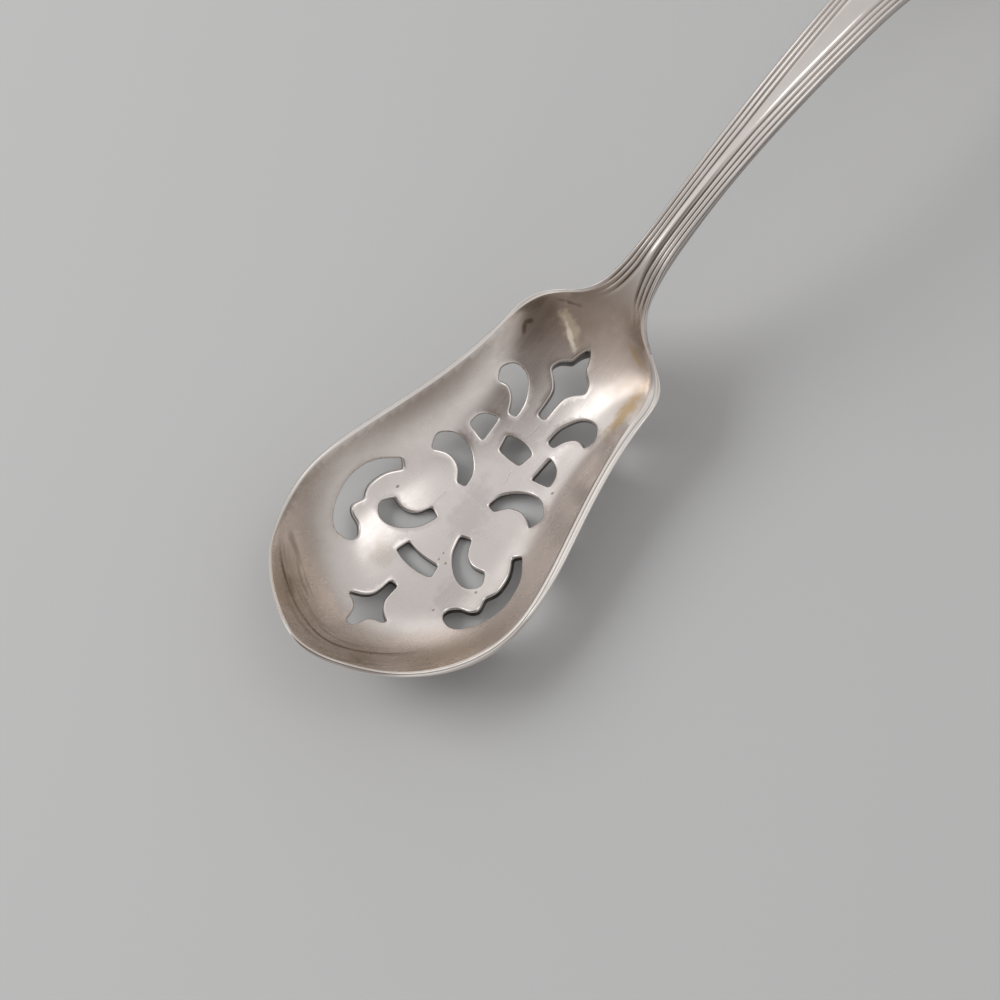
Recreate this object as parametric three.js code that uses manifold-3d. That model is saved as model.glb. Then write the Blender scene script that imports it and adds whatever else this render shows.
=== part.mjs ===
import * as THREE from 'three';
import { mergeVertices } from 'three/addons/utils/BufferGeometryUtils.js';
import Module from 'manifold-3d';

const wasm = await Module();
wasm.setup();

// A pierced olive spoon lying bowl up on a table, in millimetres.
// +X runs from the bowl's tip to the handle's end, +Z is up, the table is z = 0,
// and x = 0 is halfway along the spoon. Lengths called "from tip" are measured along X.

// Driving dimensions of the whole spoon
const OVERALL_LENGTH = 152;
const SOLDER_GAP = 0.2;
const WORN_DEPTH = 0.15;

// Bowl, seen from above
const BOWL_LENGTH = 50;
const BOWL_WIDTH = 29.2;
const TIP_INSET = 0.74;
const WIDEST_FROM_TIP = 17.2;
const FLANK_FROM_TIP = 44.5;
const FLANK_WIDTH = 20.4;
const SEAM_WIDTH = 11.8;
const SEAM_TAPER = 1.75;

// Bowl, seen from the side: heights of the rim's inner edge, and of the floor
const TIP_HEIGHT = 10.8;
const SIDE_HEIGHT = 7.5;
const FLANK_HEIGHT = 9.65;
const SEAM_HEIGHT = 10.9;
const SEAM_EDGE_LIFT = 1.05;
const FLOOR_TILT = 0.09;
const HEEL_START = 38;
const HEEL_POWER = 2.3;

// Sheet of the bowl
const SHEET = 1.1;
const RIM_SHEET = 0.9;

// Handle, seen from above
const NECK_LENGTH = 10;
const STEM_WIDTH = 3.96;
const FLARE_FROM_END = 32;
const FLARE_WIDTH = 8.4;
const END_FROM_END = 10;
const END_WIDTH = 12.8;

// Handle, seen from the side: heights of its top along the middle
const NECK_TOP_FROM_SEAM = 8;
const NECK_TOP_HEIGHT = 18.3;
const NECK_TOP_SLOPE = 0.55;
const ARCH_FROM_SEAM = 41;
const ARCH_HEIGHT = 25.8;
const STEM_THICKNESS = 1.8;
const STEM_SIDE = 1.2;
const NECK_THICKNESS = 3.4;
const NECK_SIDE = 2.8;
const NECK_THICKEST_FROM_SEAM = 6;
const NECK_SPREAD = 9;
const CROWN = 0.2;

// Reeds along both edges of the handle
const REEDS = 3;
const REED_PITCH = 0.55;
const HALF_BAND_REEDS = 1.17;
const REED_DEPTH = 0.16;
const REED_START_FROM_SEAM = 0.8;
const REED_FULL_FROM_SEAM = 3.8;

// Size of the bowl that the piercing pattern is drawn for
const PATTERN_LENGTH = 50;
const PATTERN_WIDTH = 29.2;

// How finely curved surfaces are divided
const RIM_STEPS = [16, 13, 9];
const HANDLE_STEPS = [11, 14, 9, 10];
const BOWL_RINGS = 12;
const BOWL_UNDER_RINGS = 8;
const BAND_COLUMNS = 4;
const REED_COLUMNS = 4;
const UNDER_COLUMNS = 5;
const OUTLINE_STEPS = 2;

const { lerp, smoothstep, clamp } = THREE.MathUtils;
const point = (u, y, z) => new THREE.Vector3(u, y, z);
const bezier = (a, b, c, d) => new THREE.CubicBezierCurve3(a, b, c, d);

// Heights shared by the bowl and the handle
const HEEL_LENGTH = BOWL_LENGTH - WIDEST_FROM_TIP;
const FLOOR_HEIGHT = SHEET - WORN_DEPTH + floorDip();
const HEEL_RISE = SEAM_HEIGHT - FLOOR_HEIGHT + FLOOR_TILT * HEEL_LENGTH;
const SEAM_SLOPE = HEEL_POWER * HEEL_RISE / HEEL_LENGTH - FLOOR_TILT;
const HANDLE_START = BOWL_LENGTH + SOLDER_GAP;

// How far the floor's lowest place lies below the floor at the widest place
function floorDip() {
  const slopeDrop = FLOOR_TILT * HEEL_LENGTH;
  const lowest = (slopeDrop / (HEEL_POWER * (SEAM_HEIGHT - SHEET + slopeDrop))) ** (1 / (HEEL_POWER - 1));
  return slopeDrop * lowest * (1 - 1 / HEEL_POWER);
}

// Floor of the bowl along its middle, carried on to the tip as a slope
function floorHeight(u) {
  const ramp = Math.max((u - WIDEST_FROM_TIP) / HEEL_LENGTH, 0);
  return FLOOR_HEIGHT - FLOOR_TILT * (u - WIDEST_FROM_TIP) + HEEL_RISE * ramp ** HEEL_POWER;
}

// Inner edge of the bowl's rim on one side: tip to side, side to flank, flank to seam
function makeRim() {
  const tip = point(TIP_INSET, 0, TIP_HEIGHT);
  const side = point(WIDEST_FROM_TIP, BOWL_WIDTH / 2, SIDE_HEIGHT);
  const flank = point(FLANK_FROM_TIP, FLANK_WIDTH / 2, FLANK_HEIGHT);
  const seam = point(BOWL_LENGTH, SEAM_WIDTH / 2, SEAM_HEIGHT + SEAM_EDGE_LIFT);
  const tipWay = point(0, 0.32 * side.y, 0);
  const sideWay = point(1, 0, -FLOOR_TILT);
  const flankWay = point(1, 0.09, 0.18);
  const seamWay = point(1, -SEAM_TAPER, SEAM_SLOPE);
  const from = (start, way, reach) => start.clone().addScaledVector(way, reach);
  const front = side.x - tip.x;
  const middle = flank.x - side.x;
  const back = seam.x - flank.x;
  return [
    bezier(tip, from(tip, tipWay, 1), from(side, sideWay, -0.61 * front), side),
    bezier(side, from(side, sideWay, 0.26 * middle), from(flank, flankWay, -0.39 * middle), flank),
    bezier(flank, from(flank, flankWay, 0.5 * back), from(seam, seamWay, -0.22 * back), seam),
  ];
}

const rim = makeRim();

function rimPoint(t) {
  const piece = Math.min(Math.floor(t), rim.length - 1);
  return rim[piece].getPoint(t - piece);
}

// Inner surface: each rib runs from the middle of the bowl out to a point on the rim
function bowlTop(t, share) {
  const edge = rimPoint(t);
  const middle = Math.max(edge.x, WIDEST_FROM_TIP);
  const u = lerp(middle, edge.x, share);
  const wall = 0.3 * share ** 2 + share ** 4 - 0.3 * share ** 6;
  const rise = lerp(wall, share ** 2, smoothstep(u, HEEL_START, BOWL_LENGTH));
  return point(u, edge.y * share, floorHeight(u) + (edge.z - floorHeight(edge.x)) * rise);
}

function bowlNormal(t, share) {
  const step = 1e-3;
  if (share === 0) {
    const u = bowlTop(t, 0).x;
    return point(floorHeight(u - step) - floorHeight(u + step), 0, 2 * step).normalize();
  }
  const at = clamp(t, step, rim.length - step);
  const out = clamp(share, step, 1 - step);
  const along = bowlTop(at + step, out).sub(bowlTop(at - step, out));
  const across = bowlTop(at, out + step).sub(bowlTop(at, out - step));
  const normal = along.cross(across).normalize();
  if (t === 0) normal.setY(0).normalize();
  return normal;
}

// Depth of metal under the handle's top: thickest in the neck, thinner at the sides
function handleDepth(u, share) {
  const fromNeck = (u - BOWL_LENGTH - NECK_THICKEST_FROM_SEAM) / NECK_SPREAD;
  const neck = Math.exp(-(fromNeck ** 2));
  const middle = lerp(STEM_THICKNESS, NECK_THICKNESS, neck);
  const side = lerp(STEM_SIDE, NECK_SIDE, neck);
  return lerp(middle, side, share ** 2);
}

// Underside: the sheet's thickness below the inner surface, swelling into the neck
function bowlUnder(t, share) {
  const top = bowlTop(t, share);
  const drop = bowlNormal(t, share).multiplyScalar(-lerp(SHEET, RIM_SHEET, share ** 4));
  const neckDrop = point(0, 0, -handleDepth(BOWL_LENGTH, share));
  const under = drop.lerp(neckDrop, smoothstep(top.x, HEEL_START, BOWL_LENGTH)).add(top);
  under.z = Math.max(under.z, 0);
  return under;
}

// Edge of the handle seen from above: neck, stem, flare and rounded end
function makeHandleEdge() {
  const seam = [HANDLE_START, SEAM_WIDTH / 2 - SEAM_TAPER * SOLDER_GAP];
  const neck = [BOWL_LENGTH + NECK_LENGTH, STEM_WIDTH / 2];
  const flare = [OVERALL_LENGTH - FLARE_FROM_END, FLARE_WIDTH / 2];
  const end = [OVERALL_LENGTH - END_FROM_END, END_WIDTH / 2];
  const tip = [OVERALL_LENGTH, 0];
  const piece = (a, b, c, d) => bezier(...[a, b, c, d].map(([u, y]) => point(u, y, 0)));
  const flareWay = 0.035;
  const stemReach = flare[0] - neck[0];
  const flareReach = end[0] - flare[0];
  return [
    piece(seam, [seam[0] + 0.12 * NECK_LENGTH, seam[1] - 0.12 * NECK_LENGTH * SEAM_TAPER],
      [neck[0] - 0.68 * NECK_LENGTH, neck[1]], neck),
    piece(neck, [neck[0] + 0.17 * stemReach, neck[1]],
      [flare[0] - 0.5 * stemReach, flare[1] - 0.5 * flareWay * stemReach], flare),
    piece(flare, [flare[0] + 0.5 * flareReach, flare[1] + 0.5 * flareWay * flareReach],
      [end[0] - 0.36 * flareReach, end[1]], end),
    piece(end, [end[0] + 0.55 * END_FROM_END, end[1]],
      [tip[0], 0.56 * end[1]], tip),
  ];
}

const handleEdge = makeHandleEdge();

// Top of the handle along its middle: neck, rise to the arch, fall to the table
function makeHandleSpine(endHeight) {
  const seam = point(BOWL_LENGTH, 0, SEAM_HEIGHT);
  const neck = point(BOWL_LENGTH + NECK_TOP_FROM_SEAM, 0, NECK_TOP_HEIGHT);
  const arch = point(BOWL_LENGTH + ARCH_FROM_SEAM, 0, ARCH_HEIGHT);
  const end = point(OVERALL_LENGTH, 0, endHeight);
  const rising = point(1, 0, NECK_TOP_SLOPE);
  const third = NECK_TOP_FROM_SEAM / 3;
  const rise = arch.x - neck.x;
  const fall = end.x - arch.x;
  return [
    bezier(seam, seam.clone().addScaledVector(point(1, 0, SEAM_SLOPE), third),
      neck.clone().addScaledVector(rising, -third), neck),
    bezier(neck, neck.clone().addScaledVector(rising, 0.24 * rise),
      arch.clone().setX(arch.x - 0.42 * rise), arch),
    bezier(arch, arch.clone().setX(arch.x + 0.31 * fall),
      end.clone().setX(end.x - 0.33 * fall), end),
  ];
}

// Height of the spine over a given distance from the tip, by halving the curve's range
function heightOver(spine, u) {
  const piece = spine.find((curve) => u <= curve.v3.x) ?? spine.at(-1);
  let low = 0;
  let high = 1;
  for (let i = 0; i < 40; i++) {
    const middle = (low + high) / 2;
    if (piece.getPoint(middle).x < u) low = middle;
    else high = middle;
  }
  return piece.getPoint(high).z;
}

// Smooth top of the handle: dished at the seam, crowned along the stem
function handleTop(spine, u, share) {
  const crowned = smoothstep(u - BOWL_LENGTH, 0, NECK_TOP_FROM_SEAM);
  return heightOver(spine, u) + lerp(SEAM_EDGE_LIFT, -CROWN, crowned) * share ** 2;
}

// Lets the handle's end down until its lowest place is worn flat on the table
function seatedSpine() {
  const trial = makeHandleSpine(STEM_THICKNESS);
  const places = 40;
  let lowest = Infinity;
  for (let i = 0; i <= places; i++) {
    const share = i / places;
    const u = OVERALL_LENGTH - END_FROM_END * (1 - share);
    lowest = Math.min(lowest, handleTop(trial, u, share) - handleDepth(u, share));
  }
  return makeHandleSpine(STEM_THICKNESS - lowest - WORN_DEPTH);
}

const handleSpine = seatedSpine();

// Places across half of the handle, counted in reeds from its edge: middle band first, then the reeds
function reedPlaces(middle) {
  const places = [];
  const run = (from, to, steps) => {
    for (let i = 1; i <= steps; i++) places.push(lerp(from, to, i / steps));
  };
  places.push(middle);
  run(middle, REEDS + 1, BAND_COLUMNS);
  run(REEDS + 1, REEDS, REED_COLUMNS / 2);
  run(REEDS, 0, REEDS * REED_COLUMNS);
  return places;
}

// Depth of the grooves between reeds, fading out at the root
function reedCut(u, place) {
  const strength = smoothstep(u - BOWL_LENGTH, REED_START_FROM_SEAM, REED_FULL_FROM_SEAM);
  const crest = place < REEDS ? Math.abs(Math.sin(Math.PI * place)) : Math.min(place - REEDS, 1);
  return REED_DEPTH * strength * (1 - crest);
}

// One rib of the handle: across its top from the middle to the edge, and back underneath.
// The reeds follow the edge, so at the flared root the middle band takes up the extra width.
function handleRib(edge) {
  const middle = Math.min(edge.x, OVERALL_LENGTH - END_FROM_END);
  const reach = Math.hypot(edge.x - middle, edge.y);
  const pitch = Math.min(REED_PITCH, reach / (REEDS + HALF_BAND_REEDS));
  const at = (share, drop) => {
    const u = lerp(middle, edge.x, share);
    return point(u, edge.y * share, Math.max(handleTop(handleSpine, u, share) - drop(u, share), 0));
  };
  const rib = reedPlaces(reach / pitch).map((place) => {
    const share = Math.max(1 - pitch * place / reach, 0);
    return at(share, (u) => reedCut(u, place));
  });
  for (let i = UNDER_COLUMNS; i >= 0; i--) rib.push(at(Math.sqrt(i / UNDER_COLUMNS), handleDepth));
  return rib;
}

// Solid of one half from its ribs, mirrored to the other side and welded along the middle.
// Every rib runs along the top from the middle to the edge, then back along the underside.
function mirroredSolid(ribs, capFirst, capLast) {
  const corners = [];
  for (let i = 0; i + 1 < ribs.length; i++) {
    for (let j = 0; j + 1 < ribs[i].length; j++) {
      corners.push(ribs[i][j], ribs[i + 1][j], ribs[i + 1][j + 1]);
      corners.push(ribs[i][j], ribs[i + 1][j + 1], ribs[i][j + 1]);
    }
  }
  if (capFirst) corners.push(...sectionFace(ribs[0], -1));
  if (capLast) corners.push(...sectionFace(ribs.at(-1), 1));
  const positions = [];
  for (let i = 0; i < corners.length; i += 3) {
    const [a, b, c] = corners.slice(i, i + 3);
    for (const p of [a, b, c]) positions.push(p.x, p.y, p.z);
    for (const p of [a, c, b]) positions.push(p.x, -p.y, p.z);
  }
  return weld(positions);
}

// Flat face over a rib that lies square to X, facing along +X or -X
function sectionFace(rib, facing) {
  const outline = rib.map((p) => new THREE.Vector2(p.y, p.z));
  const faces = THREE.ShapeUtils.triangulateShape(outline, []);
  return faces.flatMap(([i, j, k]) => {
    const turn = outline[j].clone().sub(outline[i]).cross(outline[k].clone().sub(outline[i]));
    return turn * facing > 0 ? [rib[i], rib[j], rib[k]] : [rib[i], rib[k], rib[j]];
  });
}

// Joins corners that meet and drops triangles that have shrunk to a line
function weld(positions) {
  const loose = new THREE.BufferGeometry();
  loose.setAttribute('position', new THREE.Float32BufferAttribute(positions, 3));
  const joined = mergeVertices(loose, 1e-3);
  const kept = [];
  const index = joined.index.array;
  for (let i = 0; i < index.length; i += 3) {
    const [a, b, c] = index.slice(i, i + 3);
    if (a !== b && b !== c && c !== a) kept.push(a, b, c);
  }
  joined.setIndex(kept);
  return joined;
}

function toSolid(geometry) {
  return new wasm.Manifold(new wasm.Mesh({
    numProp: 3,
    vertProperties: new Float32Array(geometry.attributes.position.array),
    triVerts: new Uint32Array(geometry.index.array),
  }));
}

function toGeometry(solid) {
  const mesh = solid.getMesh();
  const geometry = new THREE.BufferGeometry();
  geometry.setAttribute('position', new THREE.BufferAttribute(mesh.vertProperties, 3));
  geometry.setIndex(new THREE.BufferAttribute(mesh.triVerts, 1));
  return geometry;
}

// Piercings. Each outline is a list of runs of [from tip, from middle] that join end to end:
// a run of two points is straight, a longer one is a smooth curve, and the last closes the outline.
const PAIRED_PIERCINGS = [
  // Long scroll beside the wall
  [
    [[24.9, 8.9], [22.3, 10.8], [19, 11.45], [15.7, 10.6], [13.7, 8.9], [13.8, 7.2], [14.8, 6.6], [15.9, 7.5],
      [16.3, 8.7], [17.1, 9.35], [18.6, 8.95]],
    [[18.6, 8.95], [20.1, 9.55], [22.3, 9.2], [24.2, 8.1]],
    [[24.2, 8.1], [24.9, 8.9]],
  ],
  // Lower petal
  [
    [[22.7, 1.75], [20.5, 2.55], [18.7, 4.4], [18.3, 6.3], [19.5, 7.5], [21.1, 6.75]],
    [[21.1, 6.75], [20.8, 5.2], [21.5, 3.85], [23.2, 2.95]],
    [[23.2, 2.95], [22.7, 1.75]],
  ],
  // Middle petal
  [
    [[27.5, 1.75], [29.4, 2.25], [31.1, 4.2], [31.3, 6.2], [29.8, 7.7], [28.1, 7.3]],
    [[28.1, 7.3], [29.05, 5.6], [28.7, 3.9], [27.3, 2.75]],
    [[27.3, 2.75], [27.5, 1.75]],
  ],
  // Fan
  [
    [[32.7, 3.65], [35.75, 3.8]],
    [[35.75, 3.8], [35.2, 5.1], [34.3, 5.75], [33.1, 5.9]],
    [[33.1, 5.9], [32.7, 3.65]],
  ],
  // Upper petal
  [
    [[37, 2.4], [38.9, 2.65], [40.9, 4], [41.2, 5.8], [39.8, 6.8], [38.6, 6.3]],
    [[38.6, 6.3], [38.95, 5.1], [38.2, 4], [36.85, 3.3]],
    [[36.85, 3.3], [37, 2.4]],
  ],
];

// Half outlines of the piercings on the middle line, from one end to the other
const MIDDLE_PIERCINGS = [
  // Four-pointed star with a stem
  [
    [[6.5, 0], [8.3, 1.05]],
    [[8.3, 1.05], [9.55, 2.55]],
    [[9.55, 2.55], [10.3, 1.4], [11.4, 0.65], [13.55, 0.5]],
    [[13.55, 0.5], [13.6, 0]],
  ],
  // Curved bar
  [
    [[16.3, 0], [16.4, 1.3], [16.75, 2.55]],
    [[16.75, 2.55], [18.4, 2.2]],
    [[18.4, 2.2], [18.2, 1], [18.15, 0]],
  ],
  // Lens
  [
    [[33, 0], [33.1, 1.5]],
    [[33.1, 1.5], [34.9, 1.85]],
    [[34.9, 1.85], [35.25, 0.9], [35.35, 0]],
  ],
  // Tulip with a stem
  [
    [[38.6, 0], [38.65, 0.5]],
    [[38.65, 0.5], [41.2, 0.65], [42.3, 1.25], [43.3, 2.5]],
    [[43.3, 2.5], [44.3, 2.1], [45.1, 0.95]],
    [[45.1, 0.95], [46.2, 0.6], [47.1, 0]],
  ],
];

const mirrorRun = (run) => run.map(([u, y]) => [u, -y]);
const turnRun = (run) => mirrorRun(run).reverse();

// Prism through the bowl over one outline, stretched with the bowl
function piercingCutter(runs) {
  const along = BOWL_LENGTH / PATTERN_LENGTH;
  const across = BOWL_WIDTH / PATTERN_WIDTH;
  const outline = new THREE.Shape();
  const place = ([u, y]) => new THREE.Vector2(u * along, y * across);
  const start = place(runs[0][0]);
  outline.moveTo(start.x, start.y);
  for (const run of runs) {
    const rest = run.slice(1).map(place);
    if (rest.length > 1) outline.splineThru(rest);
    else outline.lineTo(rest[0].x, rest[0].y);
  }
  const depth = TIP_HEIGHT + SEAM_HEIGHT;
  const prism = new THREE.ExtrudeGeometry(outline, { depth, bevelEnabled: false, curveSegments: OUTLINE_STEPS });
  prism.translate(0, 0, -depth / 4);
  return toSolid(weld(Array.from(prism.attributes.position.array)));
}

function piercingOutlines() {
  const pairs = PAIRED_PIERCINGS.flatMap((runs) => [runs, runs.map(mirrorRun)]);
  const middles = MIDDLE_PIERCINGS.map((half) => [...half, ...half.slice().reverse().map(turnRun)]);
  return [...pairs, ...middles];
}

function makeBowl() {
  const ribs = [];
  rim.forEach((curve, piece) => {
    const steps = RIM_STEPS[piece];
    for (let i = piece === 0 ? 0 : 1; i <= steps; i++) {
      const rib = [];
      for (let ring = 0; ring <= BOWL_RINGS; ring++) rib.push(bowlTop(piece + i / steps, ring / BOWL_RINGS));
      for (let ring = BOWL_UNDER_RINGS; ring >= 0; ring--) {
        rib.push(bowlUnder(piece + i / steps, ring / BOWL_UNDER_RINGS));
      }
      ribs.push(rib);
    }
  });
  let bowl = toSolid(mirroredSolid(ribs, false, true));
  for (const runs of piercingOutlines()) bowl = bowl.subtract(piercingCutter(runs));
  return toGeometry(bowl);
}

function makeHandle() {
  const ribs = [];
  handleEdge.forEach((curve, piece) => {
    const steps = HANDLE_STEPS[piece];
    for (let i = piece === 0 ? 0 : 1; i <= steps; i++) ribs.push(handleRib(curve.getPoint(i / steps)));
  });
  return mirroredSolid(ribs, true, false);
}

// Brazed layer that joins the bowl to the handle's root, in the shape of the seam
function makeSolder() {
  const bowlSide = point(BOWL_LENGTH, SEAM_WIDTH / 2, 0);
  const handleSide = handleEdge[0].getPoint(0);
  return mirroredSolid([handleRib(bowlSide), handleRib(handleSide)], true, true);
}

const silver = (color, roughness) => new THREE.MeshStandardMaterial({ color, roughness, metalness: 1 });

function part(name, geometry, material) {
  geometry.computeVertexNormals();
  const mesh = new THREE.Mesh(geometry, material);
  mesh.name = name;
  return mesh;
}

const spoon = new THREE.Group();
spoon.position.x = -OVERALL_LENGTH / 2;
spoon.add(
  part('pierced_bowl', makeBowl(), silver(0xc9c0b6, 0.28)),
  part('reeded_handle', makeHandle(), silver(0xd2cbc4, 0.24)),
  part('solder_seam', makeSolder(), silver(0xbfb29c, 0.35)),
);

export default spoon;
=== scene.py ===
import math

import bpy
import numpy as np
from mathutils import Matrix, Vector
from mathutils.geometry import delaunay_2d_cdt


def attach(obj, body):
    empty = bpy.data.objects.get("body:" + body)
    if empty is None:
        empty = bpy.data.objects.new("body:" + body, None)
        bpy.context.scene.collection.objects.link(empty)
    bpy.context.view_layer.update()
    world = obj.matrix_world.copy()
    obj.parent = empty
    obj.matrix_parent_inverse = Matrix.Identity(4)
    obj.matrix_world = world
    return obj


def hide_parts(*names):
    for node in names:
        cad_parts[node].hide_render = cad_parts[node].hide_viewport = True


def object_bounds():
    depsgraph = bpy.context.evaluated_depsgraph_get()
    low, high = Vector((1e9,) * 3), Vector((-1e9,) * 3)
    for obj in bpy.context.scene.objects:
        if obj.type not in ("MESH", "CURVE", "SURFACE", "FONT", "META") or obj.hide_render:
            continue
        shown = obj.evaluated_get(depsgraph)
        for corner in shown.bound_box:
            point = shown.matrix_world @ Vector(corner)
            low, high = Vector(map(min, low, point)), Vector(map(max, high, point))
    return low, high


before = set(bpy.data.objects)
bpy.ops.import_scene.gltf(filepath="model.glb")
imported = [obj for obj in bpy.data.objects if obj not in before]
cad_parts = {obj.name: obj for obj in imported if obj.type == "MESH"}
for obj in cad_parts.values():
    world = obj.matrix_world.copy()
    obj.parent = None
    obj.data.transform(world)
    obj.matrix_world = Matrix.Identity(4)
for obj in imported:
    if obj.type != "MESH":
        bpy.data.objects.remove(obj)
cad_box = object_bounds()

# A pierced olive spoon. Sizes are in millimetres. Down to the curves' reaches they are the solids' own, apart
# from the flank, and the sheet at the tip and at the left rim. The finer sizes after them are only here.
# u is the distance from the bowl's tip along X, y is the distance to the side, z is the height.
MM = 0.001
OVERALL_LENGTH = 152.0
SOLDER_GAP = 0.2
WORN_DEPTH = 0.15

# Bowl, seen from above
BOWL_LENGTH = 50.0
BOWL_WIDTH = 29.2
TIP_INSET = 0.74
WIDEST_FROM_TIP = 17.2
FLANK_FROM_TIP = 44.5
FLANK_WIDTH = 19.2
SEAM_WIDTH = 11.8
SEAM_TAPER = 1.75

# Bowl, seen from the side
TIP_HEIGHT = 10.8
SIDE_HEIGHT = 7.5
FLANK_HEIGHT = 9.65
SEAM_HEIGHT = 10.9
SEAM_EDGE_LIFT = 1.05
FLANK_SLOPE = 0.18
FLOOR_TILT = 0.09
WALL_BULGE = 0.3
HEEL_START = 38.0
HEEL_POWER = 2.3

# Sheet of the bowl. It is thinner at the tip, and its left rim stands more upright.
SHEET = 1.1
RIM_SHEET = 0.9
RIM_SHEET_FROM = 14.0
TIP_SHEET = 0.55
TIP_SHEET_TO = 3.0
RIM_UPRIGHT = 0.35
SIDE_FROM_MIDDLE = 4.0

# Handle
NECK_LENGTH = 10.0
STEM_WIDTH = 3.96
FLARE_FROM_END = 32.0
FLARE_SLOPE = 0.035
FLARE_WIDTH = 8.4
END_FROM_END = 10.0
END_WIDTH = 12.8
NECK_TOP_FROM_SEAM = 8.0
NECK_TOP_HEIGHT = 18.3
NECK_TOP_SLOPE = 0.55
ARCH_FROM_SEAM = 41.0
ARCH_HEIGHT = 25.8
STEM_THICKNESS = 1.8
STEM_SIDE = 1.2
NECK_THICKNESS = 3.4
NECK_SIDE = 2.8
NECK_THICKEST_FROM_SEAM = 6.0
NECK_SPREAD = 9.0
CROWN = 0.2

# Reeds along both edges of the handle
REEDS = 3
REED_PITCH = 0.55
HALF_BAND_REEDS = 1.17
REED_DEPTH = 0.16
REED_START_FROM_SEAM = 0.8
REED_FULL_FROM_SEAM = 3.8

# How far the rim's curves keep their direction, as shares of the length that they span
TIP_REACH = 0.32
SIDE_REACH_TO_TIP = 0.61
SIDE_REACH_TO_FLANK = 0.26
FLANK_REACH_TO_SIDE = 0.39
FLANK_REACH_TO_SEAM = 0.6
SEAM_REACH = 0.22

# The same for the handle, seen from above and then from the side
NECK_START_REACH = 0.12
NECK_END_REACH = 0.68
STEM_START_REACH = 0.17
FLARE_REACH = 0.5
FLARE_END_REACH = 0.36
END_START_REACH = 0.55
END_TIP_REACH = 0.56
RISE_START_REACH = 0.24
RISE_END_REACH = 0.42
FALL_START_REACH = 0.31
FALL_END_REACH = 0.33

# Fineness of the meshes
SURFACE_STEP = 0.42
OUTLINE_STEP = 0.16
RIM_STEP = 0.3
HANDLE_STEP = 0.38
UNDER_COLUMNS = 14
BAND_COLUMNS = 9
REED_COLUMNS = 10
WALL_PLACES = np.array([0.11, 0.35, 0.6, 0.85])
ROUND_ANGLES = [math.radians(a) for a in (22.5, 45.0, 67.5, 90.0)]

# Rounded edges, and the most of the sheet that an edge takes up from above and from below
EDGE_ROUND = 0.18
TIP_ROUND = 0.1
HOLE_ROUND = 0.25
CORNER_WEAR = 3
WORN_BRIGHT = 0.06
MOST_UPPER_SHARE = 0.7
MOST_LOWER_SHARE = 0.3

# Worn tip: a corner on its left and a flat on its right, with their places from the middle
TIP_CORNER = 0.25
TIP_CORNER_STARTS = -1.0
TIP_CORNER_FULL_FROM = 2.0
TIP_CORNER_FULL_TO = 10.0
TIP_CORNER_ENDS = 14.0
TIP_FLAT = 0.25
TIP_FLAT_MIDDLE = -4.5
TIP_FLAT_HALF_WIDTH = 3.2
TIP_WEAR_FULL_TO = 6.0
TIP_WEAR_ENDS = 14.0
THINNING_SHIFT = 0.75

# Bright land along the edge of the shoulders and the neck, with its places from the tip
LAND = 0.42
LEAST_LAND = 0.05
LAND_SLOPE = 0.36
LAND_BEND = 0.2
LAND_STARTS = 42.0
LAND_FULL_FROM = 47.5
LAND_FULL_TO = 51.0
LAND_ENDS = 57.0

# Fine line below the rounded edge of the rim: how deep it is cut, and where it lies on the way down
LINE_DEPTH = 0.05
LINE_STARTS = 0.03
LINE_MIDDLE = 0.09
LINE_ENDS = 0.15

# Outer face that spreads out below that line on the right side, with its places from the tip
LIP_FALL = 0.45
LIP_DROP = 0.06
WALL_LIP = 0.25
WALL_LIP_STARTS = 18.0
WALL_LIP_FULL = 27.0
SHOULDER_LIP = 0.35
SHOULDER_LIP_FULL = 48.0
NECK_LIP = 0.42
NECK_LIP_STARTS = 48.1
NECK_LIP_ENDS = 54.5

HEEL_LENGTH = BOWL_LENGTH - WIDEST_FROM_TIP
HANDLE_START = BOWL_LENGTH + SOLDER_GAP
MIDDLE_X = OVERALL_LENGTH / 2


def lerp(a, b, t):
    return a + (b - a) * t


def smoothstep(x, low, high):
    t = np.clip((x - low) / (high - low), 0.0, 1.0)
    return t * t * (3.0 - 2.0 * t)


def bezier(a, b, c, d, steps=700):
    a, b, c, d = (np.array(p, float) for p in (a, b, c, d))
    t = np.linspace(0.0, 1.0, steps + 1)[:, None]
    return a * (1 - t) ** 3 + 3 * b * t * (1 - t) ** 2 + 3 * c * t ** 2 * (1 - t) + d * t ** 3


def join_curves(curves):
    return np.concatenate([curves[0]] + [c[1:] for c in curves[1:]])


def even_points(line, step):
    """Points along a line, evenly spaced at about the given step."""
    lengths = np.concatenate([[0.0], np.cumsum(np.linalg.norm(np.diff(line, axis=0), axis=1))])
    count = max(1, round(lengths[-1] / step))
    places = np.linspace(0.0, lengths[-1], count + 1)
    return np.stack([np.interp(places, lengths, line[:, k]) for k in range(line.shape[1])], axis=1)


# Inner surface of the bowl
def floor_dip():
    drop = FLOOR_TILT * HEEL_LENGTH
    lowest = (drop / (HEEL_POWER * (SEAM_HEIGHT - SHEET + drop))) ** (1 / (HEEL_POWER - 1))
    return drop * lowest * (1 - 1 / HEEL_POWER)


FLOOR_HEIGHT = SHEET - WORN_DEPTH + floor_dip()
HEEL_RISE = SEAM_HEIGHT - FLOOR_HEIGHT + FLOOR_TILT * HEEL_LENGTH
SEAM_SLOPE = HEEL_POWER * HEEL_RISE / HEEL_LENGTH - FLOOR_TILT


def floor_height(u):
    ramp = np.maximum((u - WIDEST_FROM_TIP) / HEEL_LENGTH, 0.0)
    return FLOOR_HEIGHT - FLOOR_TILT * (u - WIDEST_FROM_TIP) + HEEL_RISE * ramp ** HEEL_POWER


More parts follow.
